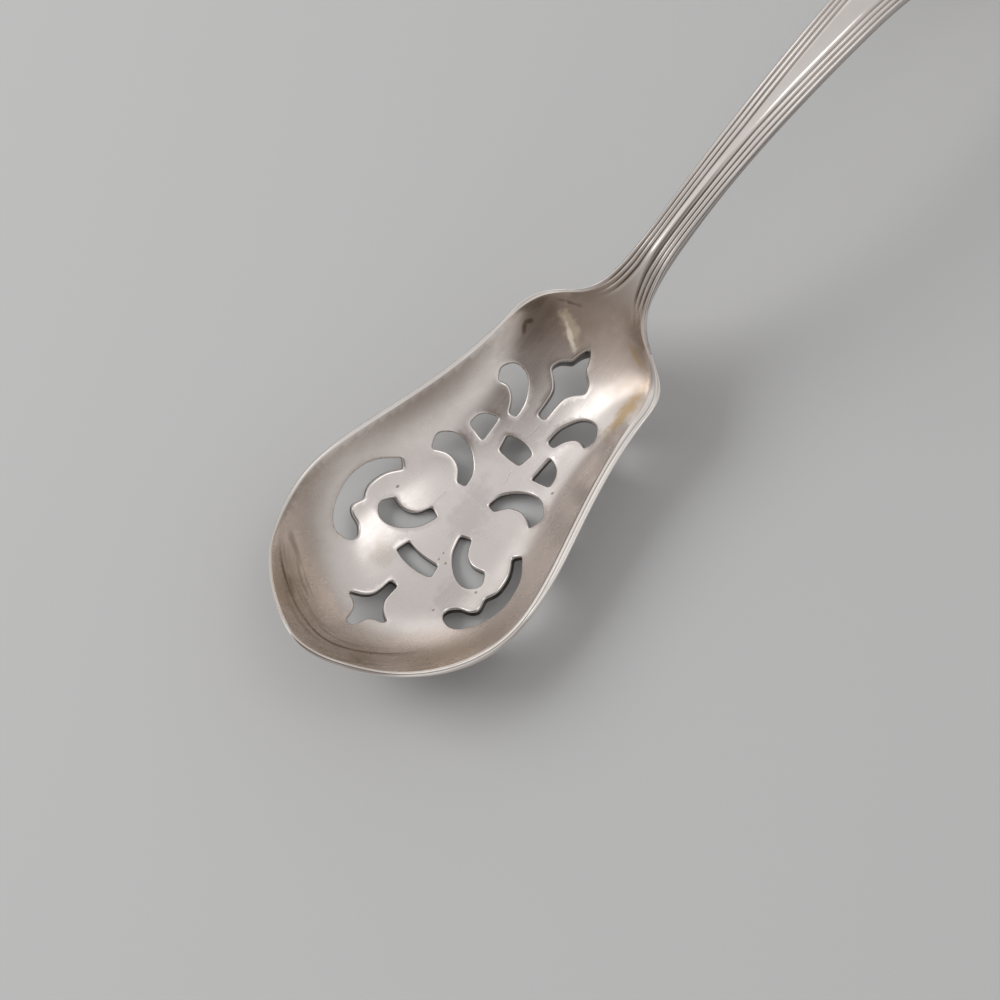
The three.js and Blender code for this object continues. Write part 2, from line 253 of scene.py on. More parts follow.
def rim_curves():
    """The rim's inner edge on one side, as two lines: tip to the widest place, and on to the seam."""
    tip = np.array([TIP_INSET, 0.0, TIP_HEIGHT])
    side = np.array([WIDEST_FROM_TIP, BOWL_WIDTH / 2, SIDE_HEIGHT])
    flank = np.array([FLANK_FROM_TIP, FLANK_WIDTH / 2, FLANK_HEIGHT])
    seam = np.array([BOWL_LENGTH, SEAM_WIDTH / 2, SEAM_HEIGHT + SEAM_EDGE_LIFT])
    tip_way = np.array([0.0, TIP_REACH * side[1], 0.0])
    side_way = np.array([1.0, 0.0, -FLOOR_TILT])
    flank_way = np.array([1.0, 0.0, FLANK_SLOPE])
    seam_way = np.array([1.0, -SEAM_TAPER, SEAM_SLOPE])
    front = side[0] - tip[0]
    middle = flank[0] - side[0]
    back = seam[0] - flank[0]
    to_side = bezier(tip, tip + tip_way, side - SIDE_REACH_TO_TIP * front * side_way, side)
    side_end = side + SIDE_REACH_TO_FLANK * middle * side_way
    to_flank = bezier(side, side_end, flank - FLANK_REACH_TO_SIDE * middle * flank_way, flank)
    flank_end = flank + FLANK_REACH_TO_SEAM * back * flank_way
    to_seam = bezier(flank, flank_end, seam - SEAM_REACH * back * seam_way, seam)
    return to_side, join_curves([to_flank, to_seam])


FRONT_RIM, REAR_RIM = rim_curves()
FRONT_ANGLE = np.arctan2(FRONT_RIM[:, 1], WIDEST_FROM_TIP - FRONT_RIM[:, 0])
FRONT_REACH = np.hypot(FRONT_RIM[:, 1], WIDEST_FROM_TIP - FRONT_RIM[:, 0])


def rim_share(u, y):
    """Share of the way from the bowl's middle to its rim, and where that rib meets the rim."""
    side = np.abs(y)
    rear = u >= WIDEST_FROM_TIP
    angle = np.arctan2(side, WIDEST_FROM_TIP - u)

    def at_rim(rear_value, front_value):
        return np.where(rear, rear_value, np.interp(angle, FRONT_ANGLE, front_value))

    reach = at_rim(np.interp(u, REAR_RIM[:, 0], REAR_RIM[:, 1]), FRONT_REACH)
    share = np.where(rear, side, np.hypot(side, WIDEST_FROM_TIP - u)) / reach
    edge_u = at_rim(u, FRONT_RIM[:, 0])
    edge_z = at_rim(np.interp(u, REAR_RIM[:, 0], REAR_RIM[:, 2]), FRONT_RIM[:, 2])
    return share, edge_u, edge_z


def inner_height(u, y):
    share, edge_u, edge_z = rim_share(u, y)
    wall = WALL_BULGE * share ** 2 + share ** 4 - WALL_BULGE * share ** 6
    rise = lerp(wall, share ** 2, smoothstep(u, HEEL_START, BOWL_LENGTH))
    return floor_height(u) + (edge_z - floor_height(edge_u)) * rise


def inner_point(u, y):
    return np.stack([u, y, inner_height(u, y)], axis=1)


def inner_normal(u, y):
    step = 0.06
    slope_u = (inner_height(u + step, y) - inner_height(u - step, y)) / (2 * step)
    slope_y = (inner_height(u, y + step) - inner_height(u, y - step)) / (2 * step)
    normal = np.stack([-slope_u, -slope_y, np.ones_like(u)], axis=1)
    return normal / np.linalg.norm(normal, axis=1)[:, None]


def handle_depth(u, share):
    neck = np.exp(-(((u - BOWL_LENGTH - NECK_THICKEST_FROM_SEAM) / NECK_SPREAD) ** 2))
    middle = lerp(STEM_THICKNESS, NECK_THICKNESS, neck)
    side = lerp(STEM_SIDE, NECK_SIDE, neck)
    return lerp(middle, side, share ** 2)


def sheet_drop(u, y):
    """Step from the inner surface down to the underside."""
    share = rim_share(u, y)[0]
    rim_sheet = lerp(TIP_SHEET, RIM_SHEET, smoothstep(u, TIP_SHEET_TO, RIM_SHEET_FROM))
    upright = RIM_UPRIGHT * share ** 4 * smoothstep(y, -SIDE_FROM_MIDDLE, SIDE_FROM_MIDDLE)
    way = lerp(inner_normal(u, y), np.array([0.0, 0.0, 1.0]), upright[:, None])
    way /= np.linalg.norm(way, axis=1)[:, None]
    drop = -way * lerp(SHEET, rim_sheet, share ** 4)[:, None]
    neck_drop = np.zeros_like(drop)
    neck_drop[:, 2] = -handle_depth(BOWL_LENGTH, share)
    early = smoothstep(u, HEEL_START, BOWL_LENGTH)
    late = smoothstep(u, FLANK_FROM_TIP, BOWL_LENGTH)
    return lerp(drop, neck_drop, lerp(early, late, share ** 4)[:, None])


# Piercings: runs of [from tip, from middle] that join end to end. A run of two points is straight.
PAIRED_PIERCINGS = [
    # Long scroll beside the wall
    [
        [(24.9, 8.9), (22.3, 10.8), (19, 11.45), (15.7, 10.6), (13.7, 8.9), (13.8, 7.2), (14.8, 6.6),
         (15.9, 7.5), (16.3, 8.7), (17.1, 9.35), (18.6, 8.95)],
        [(18.6, 8.95), (20.1, 9.55), (22.3, 9.2), (24.2, 8.1)],
        [(24.2, 8.1), (24.9, 8.9)],
    ],
    # Lower petal
    [
        [(22.7, 1.75), (20.5, 2.55), (18.7, 4.4), (18.3, 6.3), (19.5, 7.5), (21.1, 6.75)],
        [(21.1, 6.75), (20.8, 5.2), (21.5, 3.85), (23.2, 2.95)],
        [(23.2, 2.95), (22.7, 1.75)],
    ],
    # Middle petal
    [
        [(27.5, 1.75), (29.4, 2.25), (31.1, 4.2), (31.3, 6.2), (29.8, 7.7), (28.1, 7.3)],
        [(28.1, 7.3), (29.05, 5.6), (28.7, 3.9), (27.3, 2.75)],
        [(27.3, 2.75), (27.5, 1.75)],
    ],
    # Fan
    [
        [(32.7, 3.65), (35.75, 3.8)],
        [(35.75, 3.8), (35.2, 5.1), (34.3, 5.75), (33.1, 5.9)],
        [(33.1, 5.9), (32.7, 3.65)],
    ],
    # Upper petal
    [
        [(37, 2.4), (38.9, 2.65), (40.9, 4), (41.2, 5.8), (39.8, 6.8), (38.6, 6.3)],
        [(38.6, 6.3), (38.95, 5.1), (38.2, 4), (36.85, 3.3)],
        [(36.85, 3.3), (37, 2.4)],
    ],
]

# Half outlines of the piercings on the middle line
MIDDLE_PIERCINGS = [
    # Four-pointed star with a stem
    [
        [(6.45, 0), (6.75, 0.5), (7.6, 0.72), (8.35, 1.0), (8.9, 1.75), (9.1, 2.45), (9.55, 2.65)],
        [(9.55, 2.65), (10.3, 1.4), (11.4, 0.65), (13.55, 0.5)],
        [(13.55, 0.5), (13.6, 0)],
    ],
    # Curved bar
    [
        [(16.3, 0), (16.4, 1.3), (16.75, 2.55)],
        [(16.75, 2.55), (18.4, 2.2)],
        [(18.4, 2.2), (18.2, 1), (18.15, 0)],
    ],
    # Lens
    [
        [(33, 0), (33.1, 1.5)],
        [(33.1, 1.5), (34.9, 1.85)],
        [(34.9, 1.85), (35.25, 0.9), (35.35, 0)],
    ],
    # Tulip with a stem
    [
        [(38.6, 0), (38.65, 0.5)],
        [(38.65, 0.5), (41.2, 0.65), (42.3, 1.25), (43.3, 2.5)],
        [(43.3, 2.5), (44.3, 2.1), (45.1, 0.95)],
        [(45.1, 0.95), (46.2, 0.6), (47.1, 0)],
    ],
]


def smooth_run(run, steps=24):
    """A run of points as a fine line: straight for two points, and otherwise a curve through them all."""
    points = np.array(run, float)
    if len(points) == 2:
        return points
    t = np.linspace(0.0, 1.0, steps, endpoint=False)[:, None]
    pieces = []
    for i in range(len(points) - 1):
        here, there = points[i], points[i + 1]
        leave = (there - points[max(i - 1, 0)]) / 2
        arrive = (points[min(i + 2, len(points) - 1)] - here) / 2
        bend = -3 * here + 3 * there - 2 * leave - arrive
        twist = 2 * here - 2 * there + leave + arrive
        pieces.append(twist * t ** 3 + bend * t ** 2 + leave * t + here)
    return np.concatenate(pieces + [points[-1:]])


def closed_outline(runs):
    """Evenly spaced points round a closed outline, anticlockwise, with its corners a little worn."""
    outline = np.concatenate([even_points(smooth_run(run), OUTLINE_STEP)[:-1] for run in runs])
    for _ in range(CORNER_WEAR):
        outline = (np.roll(outline, 1, axis=0) + 2 * outline + np.roll(outline, -1, axis=0)) / 4
    after = np.roll(outline, -1, axis=0)
    area = np.sum(outline[:, 0] * after[:, 1] - after[:, 0] * outline[:, 1])
    return outline if area > 0 else outline[::-1]


def mirrored(run):
    return [(u, -y) for u, y in run]


def piercing_outlines():
    outlines = []
    for runs in PAIRED_PIERCINGS:
        outlines.append(closed_outline(runs))
        outlines.append(closed_outline([mirrored(run) for run in runs]))
    for half in MIDDLE_PIERCINGS:
        back = [mirrored(run)[::-1] for run in reversed(half)]
        outlines.append(closed_outline(half + back))
    return outlines


def side_normals(line, closed):
    """Unit normals to the right of a line in the plane, lengthened a little at corners."""
    if closed:
        before = np.roll(line, 1, axis=0)
        after = np.roll(line, -1, axis=0)
    else:
        before = np.concatenate([line[:1], line[:-1]])
        after = np.concatenate([line[1:], line[-1:]])

    def normal_of(way):
        length = np.maximum(np.linalg.norm(way, axis=1), 1e-9)[:, None]
        return np.stack([way[:, 1], -way[:, 0]], axis=1) / length

    first = normal_of(line - before)
    second = normal_of(after - line)
    if not closed:
        first[0] = second[0]
        second[-1] = first[-1]
    mean = first + second
    mean /= np.maximum(np.linalg.norm(mean, axis=1), 1e-9)[:, None]
    stretch = 1 / np.clip(np.sum(mean * first, axis=1), 0.7, 1.0)
    return mean * stretch[:, None]


def inside(points, outline):
    """Which points lie inside a closed outline."""
    result = np.zeros(len(points), bool)
    after = np.roll(outline, -1, axis=0)
    for (u0, y0), (u1, y1) in zip(outline, after):
        if y0 == y1:
            continue
        crosses = (y0 > points[:, 1]) != (y1 > points[:, 1])
        at = u0 + (points[:, 1] - y0) * (u1 - u0) / (y1 - y0)
        result ^= crosses & (points[:, 0] < at)
    return result


def far_from(points, line, distance):
    """Which points lie further than a distance from every point of a line."""
    result = np.ones(len(points), bool)
    for u, y in line:
        result &= (points[:, 0] - u) ** 2 + (points[:, 1] - y) ** 2 > distance ** 2
    return result


def lattice():
    """Points of an even triangular lattice over the bowl."""
    row_height = SURFACE_STEP * math.sqrt(3) / 2
    rows = []
    half = BOWL_WIDTH / 2
    for i, y in enumerate(np.arange(-half, half, row_height)):
        u = np.arange(SURFACE_STEP * (i % 2) / 2, BOWL_LENGTH, SURFACE_STEP)
        rows.append(np.stack([u, np.full_like(u, y)], axis=1))
    return np.concatenate(rows)


class Builder:
    """Collects points in millimetres and faces, with named values at the points for the materials."""

    def __init__(self):
        self.points = []
        self.faces = []
        self.values = {}
        self.count = 0

    def add(self, points, **values):
        """Adds points and returns their numbers."""
        first = self.count
        self.points.append(points)
        self.count += len(points)
        for name, value in values.items():
            self.values.setdefault(name, []).append(np.broadcast_to(value, len(points)))
        return np.arange(first, self.count)

    def strip(self, first, second, closed=False):
        """Four-sided faces between two rows of points."""
        last = len(first) if closed else len(first) - 1
        for i in range(last):
            j = (i + 1) % len(first)
            self.faces.append((first[i], first[j], second[j], second[i]))

    def make(self, name, material):
        points = np.concatenate(self.points)
        points[:, 0] -= MIDDLE_X
        mesh = bpy.data.meshes.new(name)
        mesh.from_pydata((points * MM).tolist(), [], [tuple(int(i) for i in f) for f in self.faces])
        for key, rows in self.values.items():
            layer = mesh.attributes.new(key, "FLOAT", "POINT")
            layer.data.foreach_set("value", np.concatenate(rows).astype(np.float32))
        mesh.shade_smooth()
        mesh.validate()
        for face in mesh.polygons:
            if face.loop_total > 4:
                for loop in face.loop_indices:
                    mesh.edges[mesh.loops[loop].edge_index].use_edge_sharp = True
        mesh.materials.append(material)
        piece = bpy.data.objects.new(name, mesh)
        bpy.context.scene.collection.objects.link(piece)
        return piece


def above_table(points):
    """Wears points flat where they would reach below the table."""
    points[:, 2] = np.maximum(points[:, 2], 0.0)
    return points


def rim_line():
    """The rim seen from above, from the seam on one side round the tip to the seam on the other."""
    half = join_curves([FRONT_RIM, REAR_RIM])[:, :2]
    half = even_points(half, RIM_STEP)
    other = half[:0:-1] * np.array([1.0, -1.0])
    return np.concatenate([other, half])


def tip_wear(rim):
    """How far the worn and thinner sheet moves the rim's inner edge outwards."""
    u, side = rim[:, 0], rim[:, 1]
    corner = TIP_CORNER * smoothstep(side, TIP_CORNER_STARTS, TIP_CORNER_FULL_FROM)
    corner *= smoothstep(side, TIP_CORNER_ENDS, TIP_CORNER_FULL_TO)
    flat = TIP_FLAT * np.exp(-((side - TIP_FLAT_MIDDLE) / TIP_FLAT_HALF_WIDTH) ** 2)
    thinned = THINNING_SHIFT * (RIM_SHEET - TIP_SHEET) * smoothstep(u, RIM_SHEET_FROM, TIP_SHEET_TO)
    return (corner - flat) * smoothstep(u, TIP_WEAR_ENDS, TIP_WEAR_FULL_TO) + thinned


def bowl_values(u, y):
    share = rim_share(u, y)[0]
    return {"rim_share": share, "around": np.arctan2(y, WIDEST_FROM_TIP - u)}


def land_width(u):
    """Width of the bright land along the edge of the shoulders and the neck."""
    starts = smoothstep(u, LAND_STARTS, LAND_FULL_FROM)
    return LEAST_LAND + LAND * starts * smoothstep(u, LAND_ENDS, LAND_FULL_TO)


def rim_radius(u):
    """Radius of the rim's rounded edge, which is finer at the thin tip."""
    return lerp(TIP_ROUND, EDGE_ROUND, smoothstep(u, TIP_SHEET_TO, RIM_SHEET_FROM))


def rim_lip(rim):
    """How far the rim's outer face spreads out below its fine line, on the right side only."""
    u = rim[:, 0]
    right = smoothstep(rim[:, 1], 0.0, -SIDE_FROM_MIDDLE)
    wall = WALL_LIP * smoothstep(u, WALL_LIP_STARTS, WALL_LIP_FULL)
    shoulder = SHOULDER_LIP * smoothstep(u, FLANK_FROM_TIP, SHOULDER_LIP_FULL)
    return lerp(NECK_LIP, wall + shoulder, smoothstep(u, BOWL_LENGTH, NECK_LIP_STARTS)) * right


def round_steps(out, depth, radius):
    """Steps round an edge that starts at a distance out and a depth."""
    return [(out + radius * math.sin(a), depth + radius * (1 - math.cos(a)), 0.0) for a in ROUND_ANGLES]


def rim_steps(land, radius, lip):
    """Steps over the rim's edge: distance out, depth, and 1 in the fine line that runs along it."""
    fall = land * LAND_SLOPE
    out = land + radius
    depth = fall + radius
    face = depth + LINE_ENDS
    flat = [(part * land, part * fall, 0.0) for part in (LAND_BEND, 1.0)]
    line = [(out, depth + LINE_STARTS, 0.0), (out - LINE_DEPTH, depth + LINE_MIDDLE, 1.0), (out, face, 0.0)]
    spread = [(out + part * lip, face + part * (LIP_DROP + LIP_FALL * lip), 0.0) for part in (0.5, 1.0)]
    return flat + round_steps(land, fall, radius) + line + spread


def round_over(builder, top, under, line, outward, upper, lower, closed):
    """Faces over an edge from a row of top points to the row underneath, by the given steps."""
    rows = [top]
    steps = [(step, False) for step in upper] + [(step, True) for step in lower]
    for (out, depth, groove), below in steps:
        place = line + outward * np.broadcast_to(out, len(line))[:, None]
        u, y = place[:, 0], place[:, 1]
        drop = sheet_drop(u, y)
        most = MOST_LOWER_SHARE if below else MOST_UPPER_SHARE
        share = np.minimum(depth / np.linalg.norm(drop, axis=1), most)
        if below:
            share = 1 - share
        points = above_table(inner_point(u, y) + drop * share[:, None])
        values = {"edge": 1.0, "hole": float(closed), "under": float(below), "line": groove}
        rows.append(builder.add(points, **values, **bowl_values(u, y)))
    rows.append(under)
    for first, second in zip(rows, rows[1:]):
        builder.strip(first, second, closed)
    return rows


def bowl_rim():
    """The worn rim seen from above, and its directions outwards, square to the spoon at the seam."""
    rim = rim_line()
    outward = -side_normals(rim, False)
    square = smoothstep(rim[:, 0], FLANK_FROM_TIP, BOWL_LENGTH)[:, None]
    sideways = np.stack([np.zeros(len(rim)), np.sign(rim[:, 1])], axis=1)
    outward = lerp(outward, sideways, square)
    return rim + outward * tip_wear(rim)[:, None], outward


def lattice_between(border, hole_edges):
    """Lattice points inside the border and outside the holes, a little away from both."""
    clear = 0.6 * SURFACE_STEP
    points = lattice()
    points = points[inside(points, border)]
    points = points[far_from(points, border, clear)]
    for edge in hole_edges:
        points = points[~inside(points, edge) & far_from(points, edge, clear)]
    return points


def loop_numbers(loops):
    """Point numbers of loops that follow one another in a list of points."""
    numbers = []
    start = 0
    for loop in loops:
        numbers.append(list(range(start, start + len(loop))))
        start += len(loop)
    return numbers


def triangulate(border, hole_edges):
    """Triangles between a border and its holes: points seen from above, faces, and each loop's points."""
    loops = [border] + hole_edges
    numbers = loop_numbers(loops)
    edges = [pair for loop in numbers for pair in zip(loop, loop[1:] + loop[:1])]
    points = np.concatenate(loops + [lattice_between(border, hole_edges)])
    made = delaunay_2d_cdt([Vector(p) for p in points], edges, [], 0, 1e-7, True)
    plan = np.array([tuple(v) for v in made[0]])
    faces = np.array(made[2])
    new_number = {old: new for new, merged in enumerate(made[3]) for old in merged}
    middles = plan[faces].mean(axis=1)
    wanted = inside(middles, border)
    for edge in hole_edges:
        wanted &= ~inside(middles, edge)
    return plan, faces[wanted], [np.array([new_number[i] for i in loop]) for loop in numbers]


def make_bowl(material):
    rim, rim_out = bowl_rim()
    land = land_width(rim[:, 0])
    radius = rim_radius(rim[:, 0])
    lip = rim_lip(rim)
    rim_inner = rim - rim_out * (land + radius)[:, None]
    seam = even_points(np.array([rim_inner[-1], rim_inner[0]]), SURFACE_STEP)[1:-1]
    holes = piercing_outlines()
    hole_out = [-side_normals(hole, True) for hole in holes]
    hole_edges = [hole - out * HOLE_ROUND for hole, out in zip(holes, hole_out)]
    plan, faces, loop_rows = triangulate(np.concatenate([rim_inner, seam]), hole_edges)

    builder = Builder()
    u, y = plan[:, 0], plan[:, 1]
    plain = {"edge": 0.0, "hole": 0.0, "line": 0.0}
    top = builder.add(inner_point(u, y), under=0.0, **plain, **bowl_values(u, y))
    below = above_table(inner_point(u, y) + sheet_drop(u, y))
    under = builder.add(below, under=1.0, **plain, **bowl_values(u, y))
    builder.faces += [tuple(top[f]) for f in faces]
    builder.faces += [tuple(under[f][::-1]) for f in faces]

    rim_row, seam_row = loop_rows[0][:len(rim)], loop_rows[0][len(rim):]
    upper = rim_steps(land, radius, lip)
    lower = round_steps(land + lip, 0.0, radius)[::-1]
    rows = round_over(builder, top[rim_row], under[rim_row], rim_inner, rim_out, upper, lower, False)
    last = [row[-1] for row in rows]
    first = [row[0] for row in rows]
    builder.faces.append(tuple(last + list(under[seam_row]) + first[::-1] + list(top[seam_row][::-1])))
    hole_steps = round_steps(0.0, 0.0, HOLE_ROUND)
    for row, edge, out in zip(loop_rows[1:], hole_edges, hole_out):
        round_over(builder, top[row], under[row], edge, out, hole_steps, hole_steps[::-1], True)
    return builder.make("pierced_bowl_fine", material)


# Handle
def handle_edge():
    """Edge of the handle seen from above: neck, stem, flare and rounded end."""
    seam = np.array([HANDLE_START, SEAM_WIDTH / 2 - SEAM_TAPER * SOLDER_GAP])
    neck = np.array([BOWL_LENGTH + NECK_LENGTH, STEM_WIDTH / 2])
    flare = np.array([OVERALL_LENGTH - FLARE_FROM_END, FLARE_WIDTH / 2])
    end = np.array([OVERALL_LENGTH - END_FROM_END, END_WIDTH / 2])
    tip = np.array([OVERALL_LENGTH, 0.0])
    inward = np.array([1.0, -SEAM_TAPER])
    level = np.array([1.0, 0.0])
    spreading = np.array([1.0, FLARE_SLOPE])
    stem = flare[0] - neck[0]
    last = end[0] - flare[0]
    return join_curves([
        bezier(seam, seam + NECK_START_REACH * NECK_LENGTH * inward,
               neck - NECK_END_REACH * NECK_LENGTH * level, neck),
        bezier(neck, neck + STEM_START_REACH * stem * level, flare - FLARE_REACH * stem * spreading, flare),
        bezier(flare, flare + FLARE_REACH * last * spreading, end - FLARE_END_REACH * last * level, end),
        bezier(end, end + END_START_REACH * END_FROM_END * level, (tip[0], END_TIP_REACH * end[1]), tip),
    ])


def handle_spine(end_height):
    """Top of the handle along its middle: neck, rise to the arch, fall to the table."""
    seam = np.array([BOWL_LENGTH, SEAM_HEIGHT])
    neck = np.array([BOWL_LENGTH + NECK_TOP_FROM_SEAM, NECK_TOP_HEIGHT])
    arch = np.array([BOWL_LENGTH + ARCH_FROM_SEAM, ARCH_HEIGHT])
    end = np.array([OVERALL_LENGTH, end_height])
    rising = np.array([1.0, NECK_TOP_SLOPE])
    level = np.array([1.0, 0.0])
    third = NECK_TOP_FROM_SEAM / 3
    rise = arch[0] - neck[0]
    fall = end[0] - arch[0]
    return join_curves([
        bezier(seam, seam + third * np.array([1.0, SEAM_SLOPE]), neck - third * rising, neck),
        bezier(neck, neck + RISE_START_REACH * rise * rising, arch - RISE_END_REACH * rise * level, arch),
        bezier(arch, arch + FALL_START_REACH * fall * level, end - FALL_END_REACH * fall * level, end),
    ])


def handle_top(spine, u, share):
    crowned = smoothstep(u - BOWL_LENGTH, 0.0, NECK_TOP_FROM_SEAM)
    return np.interp(u, spine[:, 0], spine[:, 1]) + lerp(SEAM_EDGE_LIFT, -CROWN, crowned) * share ** 2


def seated_spine():
    """Lets the handle's end down until its lowest place is worn flat on the table."""
    trial = handle_spine(STEM_THICKNESS)
    share = np.linspace(0.0, 1.0, 41)
    u = OVERALL_LENGTH - END_FROM_END * (1 - share)
    lowest = np.min(handle_top(trial, u, share) - handle_depth(u, share))
    return handle_spine(STEM_THICKNESS - lowest - WORN_DEPTH)


HANDLE_SPINE = seated_spine()
HIGHEST = cad_box[1][2] / MM


def reed_places(middle):
    """Places across half of the handle, counted in reeds from its edge, middle band first."""
    return np.concatenate([
        np.linspace(middle, REEDS + 1, BAND_COLUMNS + 1),
        np.linspace(REEDS + 1, REEDS, REED_COLUMNS // 2 + 1)[1:],
        np.linspace(REEDS, 0, REEDS * REED_COLUMNS + 1)[1:],
    ])


def reed_cut(u, place):
    """Depth of the grooves between reeds, fading out at the root."""
    strength = smoothstep(u - BOWL_LENGTH, REED_START_FROM_SEAM, REED_FULL_FROM_SEAM)
    reed = np.abs(np.sin(np.pi * place))
    band = np.sin(np.pi / 2 * np.clip(place - REEDS, 0.0, 1.0))
    crest = np.where(place < REEDS, reed, band) ** 1.3
    return strength * (1 - crest)


def rounding(inset):
    """How far a rounded edge falls away at a distance in from the edge."""
    from_middle = np.maximum(EDGE_ROUND - inset, 0.0)
    return EDGE_ROUND - np.sqrt(EDGE_ROUND ** 2 - from_middle ** 2)


def land_fall(u, inset):
    """How far the land along the neck's edge falls away at a distance in from the edge."""
    land = land_width(u)
    return LAND_SLOPE * np.clip(land + EDGE_ROUND - inset, 0.0, land)


def neck_lip(u):
    """How far the neck's right side spreads out below its land."""
    return NECK_LIP * smoothstep(u, NECK_LIP_ENDS, BOWL_LENGTH)


def handle_rib(edge, lip=0.0):
    """One rib: points across the top from the middle to the edge and back underneath, and values for them."""
    middle = min(edge[0], OVERALL_LENGTH - END_FROM_END)
    reach = math.hypot(edge[0] - middle, edge[1])
    pitch = min(REED_PITCH, reach / (REEDS + HALF_BAND_REEDS))
    places = reed_places(reach / pitch)
    share = np.clip(1 - pitch * places / reach, 0.0, 1.0)
    u = lerp(middle, edge[0], share)
    cut = reed_cut(u, places)
    inset = reach * (1 - share)
    fall = rounding(inset) + land_fall(u, inset)
    top_z = np.minimum(handle_top(HANDLE_SPINE, u, share), HIGHEST) - REED_DEPTH * cut - fall
    top = np.stack([u, edge[1] * share, top_z], axis=1)

    under_share = np.sqrt(np.linspace(1.0, 0.0, UNDER_COLUMNS))
    u = lerp(middle, edge[0], under_share)
    under_z = handle_top(HANDLE_SPINE, u, under_share) - handle_depth(u, under_share)
    under_z += rounding(reach * (1 - under_share))
    under = above_table(np.stack([u, edge[1] * under_share, under_z], axis=1))

    wall = lerp(top[-1], under[0], WALL_PLACES[:, None])
    wall[:, 1] += lip
    under[:, 1] += lip * under_share ** 6
    worn = WALL_PLACES == WALL_PLACES[0]
    values = {
        "groove": np.concatenate([cut, np.zeros(len(wall) + len(under))]),
        "edge": np.concatenate([np.clip(fall / WORN_BRIGHT, 0.0, 1.0), 1.0 * worn, np.zeros(len(under))]),
        "under": np.concatenate([np.zeros(len(top)), 0.5 * ~worn, np.ones(len(under))]),
    }
    return np.concatenate([top, wall, under]), values


def add_without_ends(builder, points, values):
    """Adds a rib but for its first and last point, which it shares with a rib that is there already."""
    return builder.add(points[1:-1], **{name: value[1:-1] for name, value in values.items()})


def add_half_ribs(builder, edges):
    """Both halves of a run of ribs, sharing their middle points. Returns the ribs' rows of numbers."""
    left = []
    for edge in edges:
        points, values = handle_rib(edge)
        left.append(builder.add(points, **values))
    right = []
    for edge, other in zip(edges, left):
        points, values = handle_rib(edge, neck_lip(edge[0]))
        row = add_without_ends(builder, points * np.array([1.0, -1.0, 1.0]), values)
        right.append(np.concatenate([other[:1], row, other[-1:]]))
    for first, second in zip(left, left[1:]):
        builder.strip(second, first)
    for first, second in zip(right, right[1:]):
        builder.strip(first, second)
    return left, right


def section_face(builder, sides, number, faces_forward):
    """Closes a run of ribs with one flat face across a rib."""
    loop = list(sides[0][number]) + list(sides[1][number][::-1][1:-1])
    builder.faces.append(tuple(loop if faces_forward else loop[::-1]))


def make_handle(material):
    builder = Builder()
    edges = even_points(handle_edge(), HANDLE_STEP)
    tip = edges[-1]
    sides = add_half_ribs(builder, edges[:-1])
    section_face(builder, sides, 0, False)

    inner = add_without_ends(builder, *handle_rib(tip))
    left, right = sides[0][-1], sides[1][-1]
    tip_row = np.concatenate([left[:1], inner, left[-1:]])
    builder.strip(tip_row, left)
    builder.strip(right, tip_row)
    builder.faces = [clean_face(face) for face in builder.faces]
    return builder.make("reeded_handle_fine", material)


def clean_face(face):
    """Drops corners that a face names twice."""
    return tuple(dict.fromkeys(face))


def make_solder(material):
    builder = Builder()
    edges = [(BOWL_LENGTH, SEAM_WIDTH / 2), tuple(handle_edge()[0])]
    sides = add_half_ribs(builder, edges)
    section_face(builder, sides, 0, False)
    section_face(builder, sides, 1, True)
    return builder.make("solder_seam_fine", material)


# Materials
class Nodes:
    """A node tree, with short calls for the nodes that the silver and the sky use."""

    def __init__(self, tree):
        self.tree = tree

    def node(self, kind, inputs=(), **settings):
        made = self.tree.nodes.new(kind)
        for key, value in settings.items():
            setattr(made, key, value)
        for key, value in dict(inputs).items():
            if isinstance(value, bpy.types.NodeSocket):
                self.tree.links.new(value, made.inputs[key])
            else:
                made.inputs[key].default_value = value
        return made

    def math(self, operation, first, second=0.0, third=0.0, clamp=False):
        inputs = {0: first, 1: second, 2: third}
        return self.node("ShaderNodeMath", inputs, operation=operation, use_clamp=clamp).outputs[0]

    def product(self, *values):
        result = values[0]
        for value in values[1:]:
            result = self.math("MULTIPLY", result, value)
        return result

    def largest(self, *values):
        result = values[0]
        for value in values[1:]:
            result = self.math("MAXIMUM", result, value)
        return result

    def ramp(self, value, low, high, to_low=0.0, to_high=1.0):
        """Smooth step from one output to another while the value goes from low to high."""
        inputs = {0: value, 1: low, 2: high, 3: to_low, 4: to_high}
        return self.node("ShaderNodeMapRange", inputs, interpolation_type="SMOOTHSTEP").outputs[0]

    def fade(self, value, low, high):
        """From 0 to 1 in a straight line while the value goes from low to high."""
        return self.node("ShaderNodeMapRange", {0: value, 1: low, 2: high}).outputs[0]

    def mix(self, share, first, second):
        made = self.node("ShaderNodeMix", {0: share, 6: first, 7: second}, data_type="RGBA")
        return made.outputs[2]

    def layers(self, colour, listed):
        """Lays tones over a colour, each with its own share."""
        for share, tone in listed:
            colour = self.mix(share, colour, tone)
        return colour


